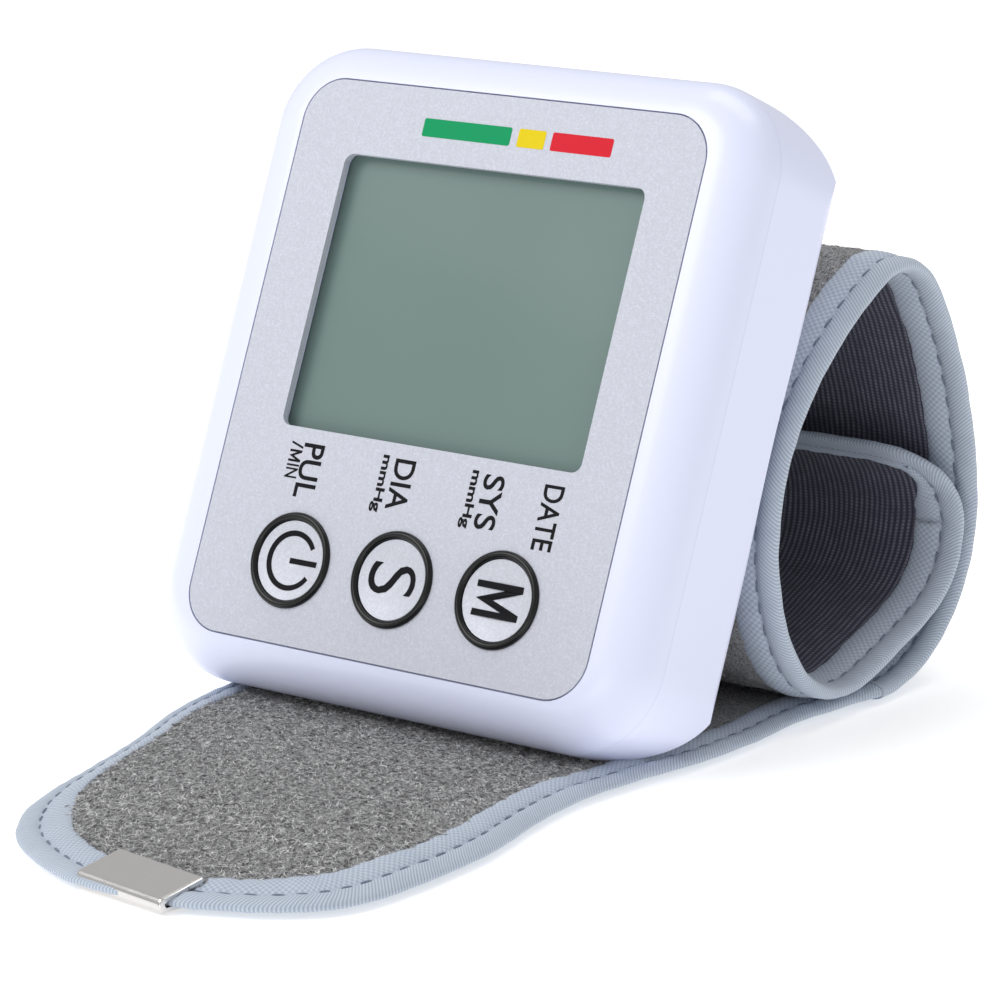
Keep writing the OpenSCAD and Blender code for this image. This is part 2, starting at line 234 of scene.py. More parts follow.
def tape_cloth(name):
    """Woven binding: a small basket weave on one half, slanting ribs on the half at the edge."""
    s = Shader(name)
    cloth = s.node("SeparateXYZ", {0: s.place(1, "UV")})
    along, across = cloth.outputs[0], cloth.outputs[1]

    def wave(value, pitch):
        return s.math("SINE", s.math("MULTIPLY", value, math.tau / pitch))

    basket = s.math("MULTIPLY", wave(along, 0.8), wave(across, 0.8))
    ribs = wave(s.math("ADD", along, s.math("MULTIPLY", across, 0.8)), 0.46)
    half = s.node("MapRange", {0: across, 1: 2.4, 2: 2.8})
    weave = s.node("Mix", {"Factor": half, 2: ribs, 3: basket}, data_type="FLOAT")
    wear = s.noise(s.place(), 0.25, 4, 0.6)
    level = s.node("MapRange", {0: weave, 1: -1.0, 2: 1.0})
    shade = s.ramp(s.math("ADD", s.math("MULTIPLY", level, 0.75), s.math("MULTIPLY", wear, 0.25)),
                   [(0.1, colour(153, 164, 180)), (0.6, colour(180, 190, 205)),
                    (0.95, colour(197, 207, 219))])
    return s.surface(base_color=shade, roughness=0.62, sheen_weight=0.15,
                     specular_ior_level=0.35, normal=s.bump(level, 0.4, 0.07))


def lining_cloth(name):
    """Dark navy knit with rows of small lighter loops."""
    s = Shader(name)
    cloth = s.node("SeparateXYZ", {0: s.place(1, "UV")})
    bend = s.noise(s.place(1, "UV"), 0.07, 2)
    along = s.math("ADD", cloth.outputs[0], s.math("MULTIPLY", bend, 3.0))
    across = s.math("ADD", cloth.outputs[1], s.math("MULTIPLY", bend, 1.5))
    rows = s.math("SINE", s.math("MULTIPLY", across, math.tau / 0.75))
    loops = s.math("SINE", s.math("MULTIPLY", along, math.tau / 0.44))
    dots = s.math("MULTIPLY", s.node("MapRange", {0: rows, 1: -0.6, 2: 1.0}),
                  s.node("MapRange", {0: loops, 1: -1.0, 2: 1.0, 3: 0.35, 4: 1.0}))
    wear = s.noise(s.place(), 0.5, 4, 0.6)
    lit = s.math("MULTIPLY", dots, s.node("MapRange", {0: wear, 1: 0.25, 2: 0.75, 3: 0.35, 4: 1.0}))
    tone = s.mix(lit, colour(58, 60, 74), colour(146, 144, 160))
    return s.surface(base_color=tone, roughness=0.8, sheen_weight=0.1, specular_ior_level=0.25,
                     normal=s.bump(dots, 0.6, 0.12))


def thread(name):
    """Twisted sewing thread."""
    s = Shader(name)
    twist = s.node("TexWave", {"Vector": s.place(), "Scale": 2.4, "Distortion": 2.0, "Detail": 2.0})
    tone = s.mix(twist.outputs["Fac"], colour(92, 103, 122), colour(134, 146, 164))
    return s.surface(base_color=tone, roughness=0.7, normal=s.bump(twist.outputs["Fac"], 0.4, 0.05))


def display_glass(name):
    """The dull green face of a display that is off."""
    s = Shader(name)
    where = s.place()
    tone = s.mix(s.noise(where, 0.03, 2), colour(103, 124, 119), colour(112, 133, 128))
    return s.surface(base_color=tone, roughness=0.4, coat_weight=0.1, coat_roughness=0.08,
                     specular_ior_level=0.25, normal=s.bump(s.noise(where, 9.0, 2), 0.05, 0.01))


white_case = plastic("case_plastic", colour(224, 228, 251), seam=True)
panel_paint = silver_paint("silver_panel", colour(199, 202, 213), 0.62)
button_paint = silver_paint("button_silver", colour(206, 209, 219), 0.42)
steel = metal("clip_steel", colour(216, 214, 212), 0.17)
plated = metal("plated_steel", colour(196, 196, 192), 0.3)
fleece = fleece_cloth("fleece")
tape = tape_cloth("binding")
lining = lining_cloth("lining")
stitch_thread = thread("stitch_thread")
nap_fibre = fibre("nap_fibre")
black_gloss = plain("ring_black", colour(8, 8, 10), 0.25, bump=0.005, shine=0.35)
print_black = plain("print_black", colour(14, 14, 20), 0.6, shine=0.15)
# White used only for the painted highlights on the key rings
painted_highlight_white = plain("painted_highlight_white", colour(243, 244, 248), 0.5)
hook_nylon = plain("hook_tape", colour(52, 54, 62), 0.55)

MATERIALS = {
    "case_plastic": white_case,
    "silver_panel": panel_paint,
    "button_silver": button_paint,
    "lcd": display_glass("lcd"),
    "strip_rubber": plain("strip_rubber", colour(214, 150, 160), 0.6),
    "board": plain("board", colour(26, 92, 58), 0.4, scale=1.5),
    "black_plastic": plastic("black_plastic", colour(30, 30, 32), 0.4),
    "sensor_body": plain("sensor_body", colour(214, 212, 200), 0.5),
    "plated_steel": plated,
    "ring_black": black_gloss,
    "tube_rubber": plain("tube_rubber", colour(214, 212, 200), 0.45),
    "cell_jacket": plain("cell_jacket", colour(46, 74, 128), 0.3),
    "saddle_plastic": plastic("saddle_plastic", colour(206, 209, 226), 0.4),
    "fleece": fleece,
    "former_plastic": plain("former_plastic", colour(226, 226, 216), 0.5),
    "bladder_rubber": plain("bladder_rubber", colour(70, 74, 84), 0.6),
    "lining": lining,
    "binding": tape,
    "hook_tape": hook_nylon,
    "clip_steel": steel,
}

slots = {part["node"]: part["material_slot"] for part in frame["record"]["subparts"]}
for name, node in frame["nodes"].items():
    found = MATERIALS.get(slots.get(name))
    if found is not None:
        node.data.materials.clear()
        node.data.materials.append(found)

# ---- meshes ----


def add_mesh(name, points, faces, material, body=None, uv=None, smooth=True, slot=None):
    """A closed mesh from points in millimetres, its faces turned outwards."""
    points = np.maximum(np.asarray(points, float), (-np.inf, -np.inf, 0.0))  # the floor is at 0
    fans = np.array([(f[0], f[i], f[i + 1]) for f in faces for i in range(1, len(f) - 1)])
    one, two, three = (points[fans[:, k]] for k in range(3))
    volume = float(np.einsum("ij,ij->i", one, np.cross(two, three)).sum())
    if volume < 0:
        faces = [tuple(reversed(f)) for f in faces]
    mesh = bpy.data.meshes.new(name)
    mesh.from_pydata((points * MM).tolist(), [], [tuple(int(i) for i in f) for f in faces])
    mesh.materials.append(material)
    mesh.polygons.foreach_set("use_smooth", [smooth] * len(mesh.polygons))
    if uv is not None:
        index = np.zeros(len(mesh.loops), int)
        mesh.loops.foreach_get("vertex_index", index)
        layer = mesh.uv_layers.new(name="cloth")
        layer.data.foreach_set("uv", np.asarray(uv, float)[index].ravel())
    obj = bpy.data.objects.new(name, mesh)
    scene.collection.objects.link(obj)
    if body is not None:
        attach(obj, body)
    return obj


def tube_faces(rings, size):
    """Quads that join rings of points, with both ends closed."""
    faces = []
    for i in range(rings - 1):
        for j in range(size):
            k = (j + 1) % size
            faces.append((i * size + j, i * size + k, (i + 1) * size + k, (i + 1) * size + j))
    faces.append(tuple(range(size)))
    faces.append(tuple((rings - 1) * size + j for j in reversed(range(size))))
    return faces


def slab_faces(rows, columns):
    """Quads of a thin slab: an upper grid of points, then a lower one."""
    count = rows * columns
    faces = []
    for i in range(rows - 1):
        for j in range(columns - 1):
            a = i * columns + j
            faces.append((a, a + 1, a + columns + 1, a + columns))
            faces.append((count + a, count + a + columns, count + a + columns + 1, count + a + 1))
    rim = list(range(columns))
    rim += [i * columns + columns - 1 for i in range(1, rows)]
    rim += [(rows - 1) * columns + j for j in range(columns - 2, -1, -1)]
    rim += [i * columns for i in range(rows - 2, 0, -1)]
    for a, b in zip(rim, rim[1:] + rim[:1]):
        faces.append((b, a, count + a, count + b))
    return faces


def two_sided(faces, n):
    """Faces of a thin solid: an upper sheet, the same sheet n points further on, and the rim between."""
    solid = [tuple(f) for f in faces] + [tuple(n + i for i in reversed(f)) for f in faces]
    sides = {}
    for f in faces:
        for a, b in zip(f, list(f[1:]) + [f[0]]):
            if (b, a) in sides:
                del sides[(b, a)]
            else:
                sides[(a, b)] = True
    return solid + [(b, a, n + a, n + b) for a, b in sides]


def inside_outline(points, rim):
    """Which points lie within a closed outline, by counting its crossings on one side of them."""
    inside = np.zeros(len(points), bool)
    for (x0, y0), (x1, y1) in zip(rim, np.roll(rim, -1, axis=0)):
        if y1 != y0:
            crosses = (y0 > points[:, 1]) != (y1 > points[:, 1])
            inside ^= crosses & (points[:, 0] < x0 + (x1 - x0) * (points[:, 1] - y0) / (y1 - y0))
    return inside


def ripple(q, seed, pitch):
    """A smooth irregular wave, about -1 to 1."""
    r = np.random.default_rng(seed)
    total = np.zeros_like(np.asarray(q, float))
    for k in range(5):
        total += np.sin(np.asarray(q) * math.tau / (pitch * (0.6 + 0.35 * k)) + r.uniform(0, 6.28))
    return total / 3.2


# ---- the loop's path, from the floor behind the case round to the curled end ----

# Radius and angle of each bend in turn
BENDS = [(20, 54.5), (19.5, 41.5), (54, 30), (9, 78.5), (49, 21.5), (31.5, 10),
         (24.5, 70), (14, 71), (131, 6.5), (11.1, 89), (9.5, 19.5), (40, 4)]
LOOP_Y = 45.5
CUFF_HALF = 36.6
CLOTH_HALF = 31.0


def arcs():
    """Each bend's first length along the loop, radius, centre and heading, and the whole length."""
    rows, s, turn, y, z = [], 0.0, 0.0, LOOP_Y, 1.2
    for radius, angle in BENDS:
        cy, cz = y - radius * math.sin(turn), z + radius * math.cos(turn)
        rows.append((s, radius, cy, cz, turn))
        s += radius * math.radians(angle)
        turn += math.radians(angle)
        y, z = cy + radius * math.sin(turn), cz - radius * math.cos(turn)
    return np.array(rows), s


ARCS, LOOP_LENGTH = arcs()


def on_loop(s, x, out):
    """Points of the loop at a length along it, a place across it and a distance outward."""
    s, x, out = np.broadcast_arrays(np.asarray(s, float), x, out)
    i = np.clip(np.searchsorted(ARCS[:, 0], s, side="right") - 1, 0, len(ARCS) - 1)
    start, radius, cy, cz, turn = ARCS[i].T if s.ndim == 1 else np.moveaxis(ARCS[i], -1, 0)
    angle = turn + (s - start) / radius
    return np.stack([x, cy + (radius + out) * np.sin(angle), cz - (radius + out) * np.cos(angle)], -1)


# ---- the strap's shape on the floor ----

STRAP_LINE = [(CUFF_HALF, LOOP_Y), (34.3, 32), (34.8, 21.5), (34.6, 11), (33, 0.6), (32.3, -10),
              (33.6, -20.3), (35.8, -30.8), (36.4, -41.2), (36, -50), (34.2, -55.5), (30.6, -59.4),
              (25.5, -62.6), (20, -64.8), (13, -65.6), (6, -65.2), (-1, -62.6), (-7.5, -58.4),
              (-12.2, -52.5), (-15, -46), (-17.8, -36), (-20.9, -25.5), (-25, -15), (-27, -8),
              (-28.6, 1), (-30.6, 12), (-33.6, 28), (-CUFF_HALF, LOOP_Y)]


def smooth_line(points, step):
    """A smooth curve through the points, sampled at an even distance."""
    p = np.array(points, float)
    p = np.vstack([2 * p[0] - p[1], p, 2 * p[-1] - p[-2]])
    curve = []
    for a, b, c, d in zip(p, p[1:], p[2:], p[3:]):
        for t in np.linspace(0, 1, 24, endpoint=False):
            curve.append(0.5 * (2 * b + (c - a) * t + (2 * a - 5 * b + 4 * c - d) * t * t
                                + (3 * b - a - 3 * c + d) * t ** 3))
    curve.append(p[-2])
    curve = np.array(curve)
    length = np.concatenate([[0], np.cumsum(np.linalg.norm(np.diff(curve, axis=0), axis=1))])
    q = np.linspace(0, length[-1], int(length[-1] / step) + 1)
    return q, np.stack([np.interp(q, length, curve[:, k]) for k in (0, 1)], -1)


def inward(line):
    """Unit directions to the right of a line's travel, which is into the strap or cuff."""
    t = np.gradient(line, axis=0)
    t /= np.linalg.norm(t, axis=1)[:, None]
    return np.stack([t[:, 1], -t[:, 0]], -1)


STRAP_Q, STRAP_EDGE = smooth_line(STRAP_LINE, 0.8)
STRAP_IN = inward(STRAP_EDGE)


def step01(value, low, high):
    """0 below low, 1 above high and smooth between them."""
    t = np.clip((value - low) / (high - low), 0, 1)
    return t * t * (3 - 2 * t)


# How wide the binding shows along the strap, as a share of its full width
STRAP_WIDTH = [(CUFF_HALF, LOOP_Y, 1.0), (34.8, 21.5, 0.74), (33.6, -20.3, 0.7), (36.4, -41.2, 0.72),
               (34.2, -55.5, 1.08), (20, -64.8, 1.05), (-1, -62.6, 1.0), (-12.2, -52.5, 0.95),
               (-17.8, -36, 0.62), (-27, -8, 0.6), (-CUFF_HALF, LOOP_Y, 1.0)]
width_at = [STRAP_Q[np.argmin(np.hypot(*(STRAP_EDGE - (x, y)).T))] for x, y, _ in STRAP_WIDTH]
strap_wide = np.interp(STRAP_Q, width_at, [w for _, _, w in STRAP_WIDTH])


def strap_middle(x, y):
    """Height of the middle of the strap's thickness: flat under the case, crowned in front of it."""
    p = np.stack([np.ravel(x), np.ravel(y)], -1)
    near = np.full(len(p), 1e9)
    for k in range(0, len(p), 4000):
        d = np.linalg.norm(p[k:k + 4000, None, :] - STRAP_EDGE[None, :, :], axis=2)
        near[k:k + 4000] = d.min(axis=1)
    near = near.reshape(np.shape(x))
    lift = 2.8 * step01(-y, 1, 24) * step01(y, -61, -40)
    crown = lift * (1 - (1 - np.clip(near / 22, 0, 1)) ** 2)
    return 0.9 + crown + 0.3 * step01(y, 33, 45)


# ---- cloth pieces ----

# Half of the binding's cross-section, from the edge inwards: distance in, height
TAPE_HALF = [(-0.06, 0.0), (-0.02, 0.26), (0.16, 0.5), (0.6, 0.74), (1.1, 0.9), (1.7, 0.98), (2.1, 0.92),
             (2.4, 0.78), (2.6, 0.66), (2.8, 0.8), (3.2, 0.98), (3.9, 1.18), (4.7, 1.28), (5.4, 1.25),
             (5.95, 1.12), (6.2, 0.9)]
TAPE_RISE = 1.28
STITCH_IN = 2.6
# The folded layer's inner face, in the same way
TAPE_INSIDE = [(0.34, 0.0), (0.5, 0.3), (1.7, 0.62), (2.6, 0.34), (4.7, 0.92), (6.2, 0.54)]


def tape_profile(over, under):
    """The cross-section of one folded layer: out over the edge from the upper side to the lower,
    and back inside, each side scaled to its own height."""
    upper = [(a, n * over / TAPE_RISE) for a, n in reversed(TAPE_HALF)]
    lower = [(a, -n * under / TAPE_RISE) for a, n in TAPE_HALF[1:]]
    lower_inside = [(a, -n * under / TAPE_RISE) for a, n in reversed(TAPE_INSIDE[1:])]
    upper_inside = [(a, n * over / TAPE_RISE) for a, n in TAPE_INSIDE]
    return np.array(upper + lower + lower_inside + upper_inside)


def sweep_tape(name, q, edge, into, profile, where, wide_over, wide_under, gather, **kind):
    """Binding swept along an edge, its width on each side scaled along the way.
    where() maps (edge coordinates, height) to space."""
    rings, uv = [], []
    for a, n in profile:
        side = 1 if n >= 0 else -1
        wide = wide_over if n >= 0 else wide_under
        reach = np.where(a > 0.6, 0.6 + (a - 0.6) * wide, a)
        wobble = 0.08 * ripple(q, 5 if side > 0 else 6, 9) * min(1, abs(n))
        off_edge = a > 0.3
        off_stitch = abs(a - STITCH_IN) > 0.4
        pucker = 0.05 * np.sin(q * math.tau / 3.0 + (0 if side > 0 else 1.7)) * off_stitch * off_edge
        pleat = 0.24 * np.sin(q * math.tau / 1.5 + 0.8 * a) * np.exp(-((a - STITCH_IN) / 2.6) ** 2) * off_edge
        reach = reach + 0.12 * ripple(q, 8, 12) * (a > 5) + 0.06 * ripple(q, 9, 6) * (a < 0.7)
        rings.append(where(edge + into * reach[:, None], n + side * (wobble + pucker + gather * pleat)))
        uv.append(np.stack([q, np.full(len(q), max(a, 0.0))], -1))
    points = np.stack(rings, 1).reshape(-1, 3)
    uv = np.stack(uv, 1).reshape(-1, 2)
    return add_mesh(name, points, tube_faces(len(q), len(profile)), tape, uv=uv, **kind)


def stitches(name, q, edge, into, rows, where, body, pitch=3.0):
    """Rows of stitches: short threads that dip into the cloth at both ends, joined as one mesh.
    A row is its side, its height, its width scale along the edge and where it runs."""
    points, faces = [], []
    long, radius, sides = 2.1, 0.15, 6
    stations = np.linspace(-1, 1, 7)
    for side, height, wide, runs in rows:
        for centre in np.arange(q[0] + pitch, q[-1] - pitch, pitch):
            if np.interp(centre, q, runs) < 0.5:
                continue
            at = centre + rng.uniform(-0.15, 0.15) + stations * long / 2
            line = np.stack([np.interp(at, q, edge[:, k]) for k in (0, 1)], -1)
            normal = np.stack([np.interp(at, q, into[:, k]) for k in (0, 1)], -1)
            inset = 0.6 + (STITCH_IN - 0.6) * np.interp(at, q, wide) + 0.12 * stations
            swell = radius * np.sqrt(np.clip(1 - 0.86 * stations ** 4, 0.05, 1))
            first = len(points)
            for j in range(sides):
                turn = math.tau * j / sides
                lift = height - 0.3 * stations ** 4 + swell * math.sin(turn)
                shift = inset + swell * math.cos(turn)
                points.extend(where(line + normal * shift[:, None], side * lift).tolist())
            # Station k of side j is point first + 7 j + k
            for k in range(6):
                for j in range(sides):
                    a, b = first + 7 * j + k, first + 7 * ((j + 1) % sides) + k
                    faces.append((a, b, b + 1, a + 1))
            faces.append(tuple(first + 7 * j for j in reversed(range(sides))))
            faces.append(tuple(first + 7 * j + 6 for j in range(sides)))
    return add_mesh(name, points, faces, stitch_thread, body=body)


# The loop's edge in cuff coordinates: length along it, place across it
corner = 10.7
EDGE_STEP = 0.8
arc = np.radians(np.linspace(0, 90, 15))
edge_points = [(s, CUFF_HALF) for s in np.arange(-0.6, LOOP_LENGTH - corner, EDGE_STEP)]
edge_points += [(LOOP_LENGTH - corner + corner * math.sin(t), CUFF_HALF - corner + corner * math.cos(t))
                for t in arc]
edge_points += [(LOOP_LENGTH, x) for x in np.arange(CUFF_HALF - corner - EDGE_STEP, 0, -EDGE_STEP)]
loop_edge = np.array(edge_points)
loop_edge = np.vstack([loop_edge, (loop_edge * (1, -1))[::-1]])
steps = np.linalg.norm(np.diff(loop_edge, axis=0), axis=1)
loop_edge = loop_edge[np.concatenate([[True], steps > 1e-6])]
loop_q = np.concatenate([[0], np.cumsum(np.linalg.norm(np.diff(loop_edge, axis=0), axis=1))])
loop_in = inward(loop_edge)


def loop_where(p, out):
    return on_loop(p[:, 0], p[:, 1], out)


# At the curled end the binding is narrow on the inner side, and gathered round the two corners
at_end = step01(loop_edge[:, 0], LOOP_LENGTH - 7, LOOP_LENGTH - 0.6)
turned = np.exp(-((loop_edge[:, 0] - LOOP_LENGTH + 5) / 6.0) ** 2) * \
    np.exp(-((np.abs(loop_edge[:, 1]) - CUFF_HALF + 3) / 6.0) ** 2)
even = np.ones_like(loop_q)
narrowed = 1 - 0.72 * at_end
loop_tape = sweep_tape("cuff_tape", loop_q, loop_edge, loop_in, tape_profile(1.3, 1.3), loop_where,
                       even, narrowed, turned, body="body", slot="binding")
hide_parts("cuff_binding")
loop_stitches = stitches("cuff_stitches", loop_q, loop_edge, loop_in,
                         [(1, 0.74, even, even), (-1, 0.74, narrowed, at_end < 0.45)], loop_where, "body")


def loop_layer(name, outer, inner, end, rough, material, slot, step):
    """One cloth layer of the loop, its free end cut to the rounded corners."""
    s = np.linspace(-0.4, end, int(end / step))
    x = np.linspace(-CLOTH_HALF, CLOTH_HALF, int(2 * CLOTH_HALF / step))
    ss, xx = np.meshgrid(s, x, indexing="ij")
    swell = rough * rng.normal(size=ss.shape) * (np.abs(xx) < 30.2)
    soft = 0.1 * ripple(ss + 0.4 * xx, 21, 16) * ripple(xx, 22, 24)
    past = np.clip(ss - (LOOP_LENGTH - corner), 0, corner - 1.4)
    limit = CUFF_HALF - corner + np.sqrt((corner - 1.4) ** 2 - past ** 2)
    xx = xx * np.minimum(1, limit / CLOTH_HALF)
    side = 1 if outer > 0 else -1
    top = on_loop(ss, xx, outer + side * (swell + soft - 0.1)).reshape(-1, 3)
    low = on_loop(ss, xx, np.full_like(ss, inner)).reshape(-1, 3)
    uv = np.stack([ss, xx], -1).reshape(-1, 2)
    return add_mesh(name, np.vstack([top, low]), slab_faces(len(s), len(x)), material, body="body",
                    uv=np.vstack([uv, uv]), slot=slot)


OUTER_END, INNER_END = LOOP_LENGTH - 5.6, LOOP_LENGTH - 1.6
cuff_outer = loop_layer("cuff_outer_cloth", 1.2, 0.4, OUTER_END, 0.05, fleece, "fleece", 0.9)
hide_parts("cuff_fleece")
cuff_inner = loop_layer("cuff_inner_cloth", -1.1, -0.5, INNER_END, 0.012, lining, "lining", 1.0)
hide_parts("cuff_lining")


# The strap: cloth filled inside its edge, then the binding and stitches round it
def strap_field(name, over, under, rough, step, margin):
    """A cloth layer between two heights over the strap's middle, a margin inside its edge."""
    rim = STRAP_EDGE + STRAP_IN * (0.6 + (margin - 0.6) * strap_wide)[:, None]
    rim = rim[::2]
    low, high = rim.min(axis=0), rim.max(axis=0)
    gx, gy = np.meshgrid(np.arange(low[0], high[0], step), np.arange(low[1], LOOP_Y, step), indexing="ij")
    grid = np.stack([gx.ravel(), gy.ravel()], -1)
    grid += rng.uniform(-0.22, 0.22, grid.shape) * step
    inside = inside_outline(grid, rim)
    gap = np.array([np.min(np.hypot(*(rim - g).T)) if i else 0 for g, i in zip(grid, inside)])
    grid = grid[inside & (gap > 0.5 * step)]
    flat = np.vstack([rim, grid])
    count = len(rim)
    verts, _, triangles, _, _, _ = delaunay_2d_cdt(
        [Vector(p) for p in flat], [], [list(range(count))], 1, 1e-6)
    flat = np.array([tuple(v) for v in verts])
    middle = strap_middle(flat[:, 0], flat[:, 1])
    bumps = rough * rng.normal(size=len(flat)) * (np.arange(len(flat)) >= count)
    top = np.column_stack([flat, middle + over + bumps])
    low = np.column_stack([flat, middle + under])
    return add_mesh(name, np.vstack([top, low]), two_sided(triangles, len(flat)), fleece, slot="fleece")


def bend_at_fold(piece):
    """Bake a strap piece's placement into its mesh points."""
    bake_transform(piece)


strap_cloth = strap_field("strap_cloth", 0.85, 0.05, 0.05, 0.75, 5.4)
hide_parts("strap_fleece", "strap_core", "flap_fleece", "flap_core")
bend_at_fold(strap_cloth)
strap_under = strap_field("strap_under_cloth", 0.02, -0.78, 0.0, 1.6, 5.4)
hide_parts("strap_backing", "flap_backing")
bend_at_fold(strap_under)


def strap_where(p, height):
    return np.column_stack([p, strap_middle(p[:, 0], p[:, 1]) + height])


CLIP_X, CLIP_Y = 13.6, -65.6


def pressed_where(p, height):
    """The strap's edge, pressed thin where the clip grips it."""
    grip = step01(7.6 - np.abs(p[:, 0] - CLIP_X), 0, 1.2) * step01(-p[:, 1], 57.5, 59)
    swell = 1 + 0.13 * step01(p[:, 1], 33, 45)
    return strap_where(p, np.clip(height * swell, -1.2 + 0.8 * grip, 2 - 1.5 * grip))


ungathered = 0 * STRAP_Q
strap_tape = sweep_tape("strap_tape", STRAP_Q, STRAP_EDGE, STRAP_IN, tape_profile(1.15, 0.82), pressed_where,
                        strap_wide, strap_wide, ungathered, slot="binding")
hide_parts("strap_binding", "flap_binding")
bend_at_fold(strap_tape)
in_clip = (STRAP_EDGE[:, 1] < -60) & (np.abs(STRAP_EDGE[:, 0] - 12.9) < 8.5)
strap_stitches = stitches("strap_stitches", STRAP_Q, STRAP_EDGE, STRAP_IN,
                          [(1, 0.66, strap_wide, ~in_clip), (-1, 0.44, strap_wide, ~in_clip)],
                          strap_where, None)
bend_at_fold(strap_stitches)


def nap(name, places, where, body, seed):
    """Short curled fibres that stand out of the fleece, both ends sunk in it."""
    r = np.random.default_rng(seed)
    count = len(places)
    t = np.linspace(0, 1, 5)
    length = r.uniform(0.7, 2.0, count)[:, None]
    heading = r.uniform(0, math.tau, count)[:, None] + r.uniform(-2.6, 2.6, count)[:, None] * (t - 0.5)
    walk = np.stack([np.cos(heading), np.sin(heading)], -1) * (length / 4)[:, :, None]
    line = places[:, None, :] + np.cumsum(walk, axis=1) - walk.sum(axis=1, keepdims=True) / 2
    rise = r.uniform(0.12, 0.4, count)[:, None] * np.sin(math.pi * t) - 0.1
    thick = r.uniform(0.03, 0.052, count)[:, None] * np.array([0.5, 1, 1, 1, 0.4])
    across = np.stack([-np.sin(heading), np.cos(heading)], -1)
    points = []
    for j in range(3):
        turn = math.tau * j / 3 + 0.5
        flat = (line + across * (thick * math.cos(turn))[:, :, None]).reshape(-1, 2)
        height = (rise + thick * math.sin(turn)).ravel()
        points.append(where(flat, height).reshape(count, 5, 3))
    points = np.stack(points, 2).reshape(-1, 3)
    unit = np.array([(k * 3 + j, k * 3 + (j + 1) % 3, k * 3 + 3 + (j + 1) % 3, k * 3 + 3 + j)
                     for k in range(4) for j in range(3)])
    ends = np.array([(2, 1, 0), (12, 13, 14)])
    shift = 15 * np.arange(count)[:, None, None]
    faces = (unit + shift).reshape(-1, 4).tolist() + (ends + shift).reshape(-1, 3).tolist()
    return add_mesh(name, points, faces, nap_fibre, body=body, slot="fleece")


def strap_places(count, seed):
    """Even random places on the strap's fleece, in front of the case."""
    r = np.random.default_rng(seed)
    p = np.column_stack([r.uniform(-32, 36, 4 * count), r.uniform(-60, 8, 4 * count)])
    rim = (STRAP_EDGE + STRAP_IN * (0.3 + 5.4 * strap_wide)[:, None])[::3]
    return p[inside_outline(p, rim)][:count]


def strap_fleece(p, up):
    return strap_where(p, 0.85 + up)


def cuff_fleece(p, up):
    return on_loop(p[:, 0], p[:, 1], 1.08 + 0.7 * up)


strap_fibres = strap_places(19000, 3)
for k in range(3):
    bend_at_fold(nap(f"strap_nap_{k}", strap_fibres[k::3], strap_fleece, None, 20 + k))
r = np.random.default_rng(6)
loop_places = np.column_stack([r.uniform(0.5, OUTER_END - 1, 9000), r.uniform(-30.6, 30.6, 9000)])
for k in range(2):
    nap(f"cuff_nap_{k}", loop_places[k::2], cuff_fleece, "body", 30 + k)

# The steel clip: one strip folded over the strap's end, its side view given from the fold inwards
hollow = [(0.95 - 0.35 * math.cos(t), 0.95 - 0.5 * math.sin(t)) for t in np.linspace(-1.45, 1.45, 7)]
leaf = [(6.3, 0.0)]
leaf += [(0.62 - 0.62 * math.cos(t), 0.92 - 0.92 * math.sin(t)) for t in np.linspace(1.45, -1.45, 9)]
leaf += [(6.1, 2.78), (6.3, 2.62), (6.25, 2.4)] + hollow + [(6.3, 0.42)]
leaf = np.array(leaf)
middle = leaf.mean(axis=0)
turn = math.radians(-6)
clip_rings = []
for x, trim in ((-6.5, 0.12), (-6.38, 0.03), (-6.2, 0.0), (6.2, 0.0), (6.38, 0.03), (6.5, 0.12)):
    ring = leaf + np.clip(middle - leaf, -trim, trim)
    clip_rings.append(np.column_stack([
        CLIP_X + x * math.cos(turn) - ring[:, 0] * math.sin(turn),
        CLIP_Y + x * math.sin(turn) + ring[:, 0] * math.cos(turn),
        np.maximum(ring[:, 1] - 0.02 * x * (ring[:, 1] > 1.2), 0.0)]))
clip = add_mesh("strap_clip", np.vstack(clip_rings), tube_faces(6, len(leaf)), steel, body="flap",
                smooth=False, slot="clip_steel")
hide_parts("end_clip")

# Hook fastener: a woven base with rows of small hooks, each four squares of points along its bend
HOOK_BEND = [(0, 1.45), (0.02, 1.75), (0.16, 1.95), (0.36, 1.9)]
hook_s = (ARCS[8][0] + 0.3, ARCS[9][0] - 0.3)
s, x = np.meshgrid(np.linspace(*hook_s, 18), np.linspace(-24, 24, 49), indexing="ij")
top = on_loop(s, x, 1.55 + 0.02 * rng.normal(size=s.shape)).reshape(-1, 3)
low = on_loop(s, x, np.full_like(s, 1.1)).reshape(-1, 3)
hook_points, hook_faces = [top, low], slab_faces(18, 49)
count = len(top) + len(low)
for hs in np.arange(hook_s[0] + 0.8, hook_s[1] - 0.6, 1.1):
    for hx in np.arange(-23.2, 23.3, 1.1):
        ring = []
        for k, (ahead, height) in enumerate(HOOK_BEND):
            r = 0.13 - 0.02 * k
            for j in range(4):
                turn = math.tau * (j + 0.5) / 4
                ring.append((hs + ahead + r * math.cos(turn), hx + r * math.sin(turn), height))
        ring = np.array(ring)
        hook_points.append(on_loop(ring[:, 0], ring[:, 1], ring[:, 2]))
        hook_faces += [tuple(count + i for i in f) for f in tube_faces(4, 4)]
        count += 16
hooks = add_mesh("hook_fastener", np.vstack(hook_points), hook_faces, hook_nylon, body="body",
                 slot="hook_tape", smooth=False)
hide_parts("hook_patch")

# ---- print on the face, and painted highlights on the key rings ----

PRINT_Z = 0.03
KEY_PITCH, KEY_Y = 15.25, -24


def dish(x, y, middle_x, middle_y):
    """Height of a button's hollow top, over the panel."""
    return 29.7 - np.sqrt(900 - (x - middle_x) ** 2 - (y - middle_y) ** 2)


